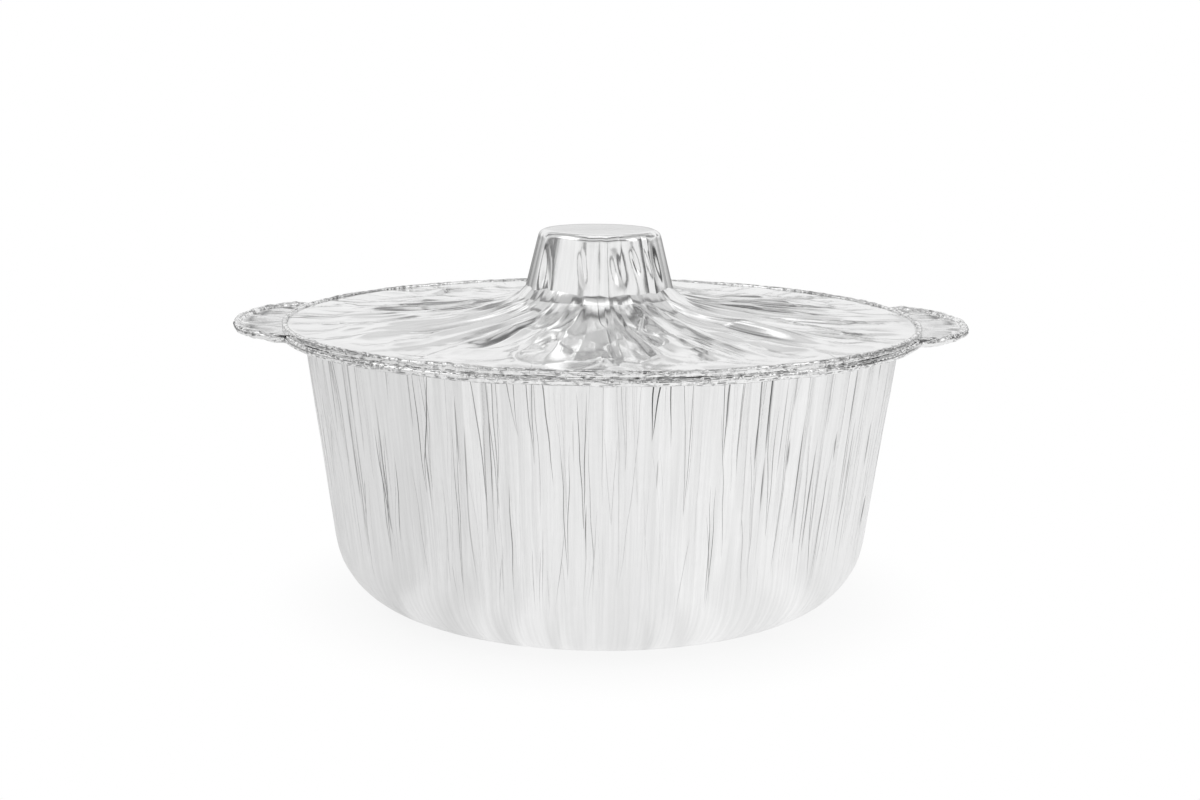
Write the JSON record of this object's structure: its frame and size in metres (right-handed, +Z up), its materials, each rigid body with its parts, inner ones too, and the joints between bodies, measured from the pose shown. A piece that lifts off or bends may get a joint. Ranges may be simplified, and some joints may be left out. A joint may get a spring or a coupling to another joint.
{
  "type": "foil pot with lid",
  "caption": "Round pleated foil pot with an ear handle on each side and a foil lid with a pressed-up knob resting on its rim.",
  "frame": {"origin": "on the surface the pot stands on, under the middle of its base", "axes": "+Z up through the lid's knob, +X through one ear, Y across the ears"},
  "size_m": [0.3027, 0.263, 0.1523],
  "materials": {
    "pot_foil": "bright pressed foil with fine vertical pleats",
    "lid_foil": "bright pressed foil with folds that run out from the knob"
  },
  "bodies": {
    "root": {"pot": "pot_foil", "lid": "lid_foil"}
  },
  "joints": []
}
